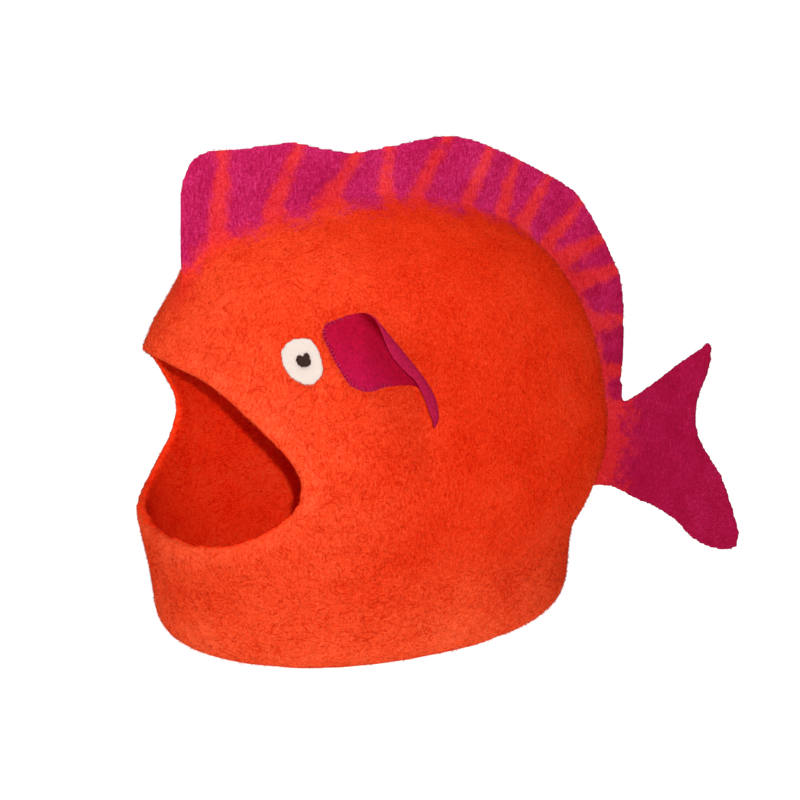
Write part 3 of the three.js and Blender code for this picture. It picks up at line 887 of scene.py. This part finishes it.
class SideWall:
    # A smooth surface through the body's wall on one side, -1 near and +1 far.
    def __init__(self, tree, side):
        self.side = side
        places, reaches = [], []
        for x in np.linspace(*wallFit["x"], wallFit["steps"]):
            for z in np.linspace(*wallFit["z"], wallFit["steps"]):
                hit = tree.ray_cast(Vector((x, side, z)), Vector((0, -side, 0)))[0]
                if hit is not None and abs(hit.y) > wallFit["least"]:
                    places.append((x, z))
                    reaches.append(abs(hit.y))
        places = np.array(places)
        self.middle = places.mean(axis=0)
        self.weights = np.linalg.lstsq(self.terms(*places.T), np.array(reaches), rcond=None)[0]

    def terms(self, x, z):
        a, b = (x - self.middle[0]) / wallFit["unit"], (z - self.middle[1]) / wallFit["unit"]
        degree = wallFit["degree"]
        return np.stack([a ** i * b ** j for i in range(degree + 1) for j in range(degree + 1 - i)],
                        axis=-1)

    def reach(self, x, z):
        return self.terms(x, z) @ self.weights

    def outward(self, x, z):
        step = wallFit["slopeStep"]
        slopeX = (self.reach(x + step, z) - self.reach(x - step, z)) / (2 * step)
        slopeZ = (self.reach(x, z + step) - self.reach(x, z - step)) / (2 * step)
        return unit(np.stack([-slopeX, np.full_like(slopeX, self.side), -slopeZ], axis=-1))

    def place(self, x, z, lift):
        on = np.stack([x, self.side * self.reach(x, z), z], axis=-1)
        return on + self.outward(x, z) * np.asarray(lift)[..., None]


# A point of the leaf after its rear has curled off the body, height above its middle layer included.
def curledPlace(wall, across, along, height):
    tilt = math.radians(sideFin["tilt"])
    radius = sideFin["radius"]
    turn = np.maximum(0, across) / radius
    droop = sideFin["droop"] * (np.maximum(0, along) / sideFin["tipAlong"]) ** sideFin["droopPower"]
    around = np.minimum(0, across) + (radius - height) * np.sin(turn) - droop
    lift = sideFin["gap"] + sideFin["thickness"] / 2 + radius - (radius - height) * np.cos(turn)
    x = sideFin["fold"][0] + around * math.sin(tilt) + along * math.cos(tilt)
    z = sideFin["fold"][1] + around * math.cos(tilt) - along * math.sin(tilt)
    return wall.place(x, z, lift)


def leafGrid():
    u = np.linspace(0, 1, sideFin["columns"])
    v = np.linspace(0, 1, sideFin["rows"])
    front, rear = smoothPath(leafFront, v)[:, None], smoothPath(leafRear, v)[:, None]
    top, bottom = smoothPath(leafTop, u)[None], smoothPath(leafBottom, u)[None]
    u, v = u[None, :, None], v[:, None, None]
    corners = (front[0] * (1 - u) * (1 - v) + rear[0] * u * (1 - v)
               + front[-1] * (1 - u) * v + rear[-1] * u * v)
    return front * (1 - u) + rear * u + top * (1 - v) + bottom * v - corners


def addSideFin(name, wall, materials):
    flat = leafGrid()
    rows, columns = flat.shape[:2]
    across, along = flat[..., 0].ravel(), flat[..., 1].ravel()
    middle = curledPlace(wall, across, along, np.zeros_like(across))
    corner = np.arange(rows * columns).reshape(rows, columns)
    a, b, c, d = corner[:-1, :-1], corner[:-1, 1:], corner[1:, 1:], corner[1:, :-1]
    first, second = np.stack([a, b, c], axis=-1), np.stack([a, c, d], axis=-1)
    triangles = np.concatenate([first.reshape(-1, 3), second.reshape(-1, 3)])
    if wall.side < 0:
        triangles = triangles[:, ::-1]
    fin = meshFromArrays(name, middle, triangles)
    facing = normalsOf(fin)
    applyModifier(fin, "SOLIDIFY", thickness=sideFin["thickness"], offset=0)
    applyModifier(fin, "REMESH", mode="VOXEL", voxel_size=sideFin["voxel"], use_smooth_shade=True)
    applyModifier(fin, "SMOOTH", factor=0.5, iterations=sideFin["smoothing"])
    applyModifier(fin, "DECIMATE", ratio=sideFin["keep"], use_collapse_triangulate=True)
    points = pointsOf(fin)
    tree = KDTree(len(middle))
    for index, place in enumerate(middle.tolist()):
        tree.insert(place, index)
    tree.balance()
    nearest = np.array([tree.find(point)[1] for point in points.tolist()])
    outwards = ((points - middle[nearest]) * facing[nearest]).sum(axis=1)
    outline = np.concatenate([flat[0], flat[:, -1], flat[-1, ::-1], flat[::-1, 0]])
    face = outwards / sideFin["thickness"] * 2
    places = flat.reshape(-1, 2)[nearest]
    stitches, inwards = seamPlaces()
    pressed = stitches + inwards * seam["pressInset"]
    toStitch = np.min(np.linalg.norm(places[:, None] - pressed[None], axis=2), axis=1)
    press = seam["press"] * np.exp(-(toStitch / seam["pressReach"]) ** 2) * (face > 0)
    setPoints(fin, points - facing[nearest] * press[:, None])
    setValue(fin, "outerFace", face)
    setValue(fin, "toEdge", distanceToPath(places, outline))
    setValue(fin, "across", places[:, 0])
    setValue(fin, "along", places[:, 1])
    setValue(fin, "press", press / seam["press"])
    dress(fin, materials["sideFin"])
    areas = areasOf(fin)[0]
    random = np.random.default_rng(sideFin["seed"])
    nap = fibresOn(fin, name + "_nap", sideFin["nap"], areas, leafValues, random,
                   sideFin["napLength"], sideFin["napWidth"], sideFin["napLift"])
    dress(nap, materials["sideFin"])
    return fin, nap


# Overcast thread along the sewn part of the leaf's edge: from the felt's face over the edge to the body
seam = {
    "spacing": 0.0034, "uneven": 0.0007, "beat": 2.4, "inner": 0.0030, "outer": 0.0005, "slant": 0.0010,
    "radius": 0.00026, "press": 0.0008, "pressReach": 0.0013, "pressInset": 0.0012, "sides": 6,
    "bottomTo": -0.010, "topTo": 0.001, "leafMiddle": (-0.010, -0.020), "aheadBy": 0.0015,
    "colour": (0.46, 0.026, 0.080, 1),
}


# Where the stitches cross the leaf's edge, and the direction inwards from it at each.
def seamPlaces():
    shares = np.linspace(0, 1, 200)
    bottom = smoothPath(leafBottom, shares)
    bottom = bottom[bottom[:, 0] < seam["bottomTo"]][::-1]
    top = smoothPath(leafTop, shares)
    top = top[top[:, 0] < seam["topTo"]]
    path = np.vstack([bottom, smoothPath(leafFront, shares)[::-1], top])
    run = runAlong(path)
    marks = np.arange(seam["spacing"] / 2, run[-1] - seam["uneven"], seam["spacing"])
    marks += seam["uneven"] * np.sin(np.arange(len(marks)) * seam["beat"])
    before, places, ahead = [
        np.column_stack([np.interp(marks + shift, run, column) for column in path.T])
        for shift in (-seam["aheadBy"], 0, seam["aheadBy"])
    ]
    along = unit(ahead - before)
    inwards = np.column_stack([-along[:, 1], along[:, 0]])
    inwards *= np.sign(((seam["leafMiddle"] - places) * inwards).sum(axis=1))[:, None]
    return places, inwards


def addSeam(name, wall, material):
    places, inwards = seamPlaces()
    slants = np.column_stack([inwards[:, 1], -inwards[:, 0]]) * seam["slant"]
    inner, outer, radius, half = seam["inner"], seam["outer"], seam["radius"], sideFin["thickness"] / 2
    # Each stitch's way: depth in from the edge, height over the leaf's middle layer, share of the slant.
    stations = [
        (inner, half - 2 * radius, 1.0), (inner, half - seam["press"], 1.0), (inner * 0.5, half, 0.6),
        (-radius, half * 0.7, 0.0), (-outer * 0.7, 0.0, -0.4), (-outer, -half, -0.6),
        (-outer, -half - 2 * radius, -0.6),
    ]
    rings = []
    for depth, height, share in stations:
        flat = places + inwards * depth + slants * share
        rings.append(curledPlace(wall, flat[:, 0], flat[:, 1], np.full(len(flat), height)))
    path = np.stack(rings, axis=1)
    tangent = unit(np.gradient(path, axis=1))
    outward = wall.outward(path[..., 0], path[..., 2])
    sideways = unit(np.cross(tangent, outward + 1e-3 * tangent[:, ::-1]))
    over = np.cross(sideways, tangent)
    turns = np.arange(seam["sides"]) * 2 * math.pi / seam["sides"]
    ring = (sideways[:, :, None] * np.cos(turns)[None, None, :, None]
            + over[:, :, None] * np.sin(turns)[None, None, :, None]) * radius
    points = path[:, :, None] + ring
    count, steps, sides = points.shape[:3]
    corner = np.arange(points[..., 0].size).reshape(count, steps, sides)
    a, b = corner[:, :-1], np.roll(corner, -1, axis=2)[:, :-1]
    c, d = np.roll(corner, -1, axis=2)[:, 1:], corner[:, 1:]
    faces = [np.stack([a, b, c], axis=-1).reshape(-1, 3), np.stack([a, c, d], axis=-1).reshape(-1, 3)]
    for end, turned in ((corner[:, 0], True), (corner[:, -1], False)):
        for k in range(1, sides - 1):
            fan = np.stack([end[:, 0], end[:, k], end[:, k + 1]], axis=-1)
            faces.append(fan[:, ::-1] if turned else fan)
    triangles = np.vstack(faces)
    thread = meshFromArrays(name, points.reshape(-1, 3), triangles)
    pick(thread)
    bpy.ops.object.mode_set(mode="EDIT")
    bpy.ops.mesh.select_all(action="SELECT")
    bpy.ops.mesh.normals_make_consistent(inside=False)
    bpy.ops.object.mode_set(mode="OBJECT")
    dress(thread, material)
    return thread


sideFinWool = {
    "red": (0.31, 0.003, 0.0215, 1),
    # hollow: painted shade on the outer face inside the curl.
    "hollow": (0.17, 0.0008, 0.0055, 1),
    "pink": (0.37, 0.0056, 0.050, 1),
    "underside": (0.31, 0.0075, 0.040, 1),
    # rim: a painted highlight along the cut edge.
    "rim": (0.66, 0.050, 0.110, 1),
    # Fades across and along the leaf, and from its cut edge.
    "pinkAcross": (-0.034, 0.004),
    "pinkAlong": (-0.045, 0.012, 0.3, 1.0),
    "hollowAcross": (0.002, 0.013),
    "rimDepth": (0.0008, 0.0022, 1.0, 0.0),
    "rimAcross": (-0.012, 0.004, 0.22, 1.0),
    "outerFrom": (-0.5, 0.2),
    # Shades of the felt's spots, grain and nap, and painted shade in the stitch hollows.
    "spotScale": 420.0,
    "spotShade": (0.3, 0.7, 0.82, 1.1),
    "grainScale": 1500.0,
    "grainShade": (0.3, 0.7, 0.88, 1.08),
    "pressShade": (0.0, 1.0, 1.0, 0.7),
    "napShade": (-0.4, 0.5, 0.8, 1.25),
    "bumpDepth": 0.0003,
}


def cutFelt():
    bench = NodeBench("cutFelt")
    look = sideFinWool
    awayFromFold = bench.sum("SUBTRACT", 1.0, bench.fade("across", look["pinkAcross"]))
    pinkShare = bench.sum("MULTIPLY", awayFromFold, bench.fade("along", look["pinkAlong"]))
    outer = bench.mix(pinkShare, look["red"], look["pink"])
    # Painted shade: the outer face darkens inside the curl.
    outer = bench.mix(bench.fade("across", look["hollowAcross"]), outer, look["hollow"])
    colour = bench.mix(bench.fade("outerFace", look["outerFrom"]), look["underside"], outer)
    # Painted highlight along the leaf's cut edge.
    cut = bench.sum("MULTIPLY", bench.fade("toEdge", look["rimDepth"]),
                    bench.fade("across", look["rimAcross"]))
    colour = bench.mix(cut, colour, look["rim"])
    grain = bench.noise(look["grainScale"], 2.0, 0.6)
    spots = bench.noise(look["spotScale"], 2.0, 0.6)
    shade = bench.ramp(spots, *look["spotShade"])
    # The stitch hollows get painted shade.
    for share in (bench.ramp(grain, *look["grainShade"]), bench.fade("press", look["pressShade"]),
                  bench.fade("tone", look["napShade"])):
        shade = bench.sum("MULTIPLY", shade, share)
    bench.bump(bench.sum("ADD", spots, grain), 0.5, look["bumpDepth"])
    return bench.finish(bench.shaded(colour, shade))


# Eyes: an egg-shaped white felt with a small notched pupil on it

eyeFelt = {
    "voxel": 0.0006, "smoothing": 4, "keep": 0.5, "sectors": 72, "edgeTurn": 0.75,
    "edgeWaves": ((0.006, 17, 1), (0.005, 29, 0)),  # depth, waves round the edge and start
    "whiteFlat": (0.034, 0.039), "whiteArea": 0.00100,
    "pupilFlat": (0.0128, 0.0125), "pupilArea": 0.00012,
    "white": (0.54, 0.455, 0.410, 1), "dark": (0.032, 0.018, 0.014, 1),
}
# Outlines round each piece's middle, towards the tail and upwards in millimetres.
whiteOutline = [
    (-16.7, 7.3), (-12.3, 14.1), (-6.6, 17.6), (0.2, 18.3), (6.4, 17.8), (9.9, 14.0),
    (13.2, 8.8), (15.5, 1.4), (16.9, -5.5), (16.0, -11.1), (12.4, -15.6), (8.9, -18.5),
    (1.9, -18.5), (-2.6, -16.2), (-8.3, -12.8), (-12.3, -7.6), (-15.1, -1.4),
]
pupilOutline = [
    (-5.9, 0.6), (-5.1, 2.9), (-3.1, 4.3), (-1.4, 3.7), (-0.5, 2.6), (0.3, 4.0),
    (0.9, 5.4), (3.1, 6.3), (4.6, 4.5), (5.0, 1.7), (6.2, -1.7), (5.3, -4.0),
    (3.0, -5.2), (0.8, -4.8), (-1.2, -5.7), (-3.2, -3.9), (-4.9, -2.3),
]
wisps = {
    "seed": 5, "white": 900, "dark": 420, "length": (0.0010, 0.0030), "width": (0.00016, 0.00032),
    "lift": (0.0, 12.0),
}


plainSpots = {"scale": 700.0, "from": 0.3, "to": 0.7, "bumpDepth": 0.0003}


def plainFelt(name, colour, depth):
    bench = NodeBench(name)
    spots = bench.noise(plainSpots["scale"], 3.0, 0.6)
    shade = bench.ramp(spots, plainSpots["from"], plainSpots["to"], 1 - depth, 1 + depth * 0.5)
    bench.bump(spots, 0.5, plainSpots["bumpDepth"])
    return bench.finish(bench.shaded(colour, shade))


# The directions on a flat piece's face: outwards, up, and towards the tail.
def faceDirections(piece, side):
    normals = normalsOf(piece)
    outward = unit(normals[normals[:, 1] * side > 0.6].mean(axis=0))
    up = unit(np.array([0.0, 0.0, 1.0]) - outward * outward[2])
    return outward, up, np.cross(up, outward) * -side


# Gives a flat round piece its own outline, by stretching it from its middle.
def reshaped(piece, outline, side):
    outward, up, back = faceDirections(piece, side)
    points = pointsOf(piece)
    around = points - points.mean(axis=0)
    right, rise = around @ back, around @ up
    angle, radius = np.arctan2(rise, right), np.hypot(right, rise)
    count = eyeFelt["sectors"]
    bounds = np.linspace(-math.pi, math.pi, count + 1)
    reach = np.zeros(count)
    np.maximum.at(reach, np.clip(np.digitize(angle, bounds) - 1, 0, count - 1), radius)
    had = np.interp(angle, (bounds[:-1] + bounds[1:]) / 2, reach, period=2 * math.pi)
    corners = np.array(outline) / 1000
    closed = np.vstack([corners, corners[:1]])
    shares = np.linspace(0, 0.9, 10)
    fine = np.vstack([a + (b - a) * t for a, b in zip(closed[:-1], closed[1:]) for t in shares])
    order = np.argsort(np.arctan2(fine[:, 1], fine[:, 0]))
    turns = np.arctan2(fine[:, 1], fine[:, 0])[order]
    wanted = np.interp(angle, turns, np.hypot(fine[:, 0], fine[:, 1])[order], period=2 * math.pi)
    wanted *= 1 + sum(depth * np.sin(waves * angle + start) for depth, waves, start in eyeFelt["edgeWaves"])
    stretch = (wanted / had - 1)[:, None]
    points += stretch * (right[:, None] * back + rise[:, None] * up)
    setPoints(piece, points)


def addEyePiece(node, name, material, side, outline, wispCount):
    piece = copyOfNodes(name, [node])
    applyModifier(piece, "REMESH", mode="VOXEL", voxel_size=eyeFelt["voxel"], use_smooth_shade=True)
    reshaped(piece, outline, side)
    applyModifier(piece, "SMOOTH", factor=0.5, iterations=eyeFelt["smoothing"])
    applyModifier(piece, "DECIMATE", ratio=eyeFelt["keep"], use_collapse_triangulate=True)
    outward, up, back = faceDirections(piece, side)
    areas, middle, facing = areasOf(piece)
    edge = areas * (np.abs(facing @ outward) < eyeFelt["edgeTurn"])
    random = np.random.default_rng(wisps["seed"])
    loose = fibresOn(piece, name + "_wisps", wispCount, edge, (), random, wisps["length"],
                     wisps["width"], wisps["lift"])
    for part in (piece, loose):
        dress(part, material)
    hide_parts(node)
    return piece


addCamera()
addFloor()
addRoom()
addLamps()
materials = {
    "wool": feltedWool(),
    "sideFin": cutFelt(),
    "white": plainFelt("whiteFelt", eyeFelt["white"], 0.06),
    "dark": plainFelt("darkFelt", eyeFelt["dark"], 0.3),
    "thread": plainFelt("sewingThread", seam["colour"], 0.2),
}
skin = addFeltSkin(materials["wool"])
fuzzPieces = addFuzz(skin, materials["wool"])
skinTree = treeOf(skin)
for sideName, side in (("left", -1), ("right", 1)):
    wall = SideWall(skinTree, side)
    fin, nap = addSideFin(f"side_fin_{sideName}", wall, materials)
    thread = addSeam(f"side_fin_thread_{sideName}", wall, materials["thread"])
    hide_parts(f"pectoral_fin_{sideName}")
    addEyePiece(f"eye_white_{sideName}", f"eye_{sideName}", materials["white"], side,
                whiteOutline, wisps["white"])
    addEyePiece(f"pupil_{sideName}", f"pupil_spot_{sideName}", materials["dark"], side,
                pupilOutline, wisps["dark"])
say("side fins and eyes")
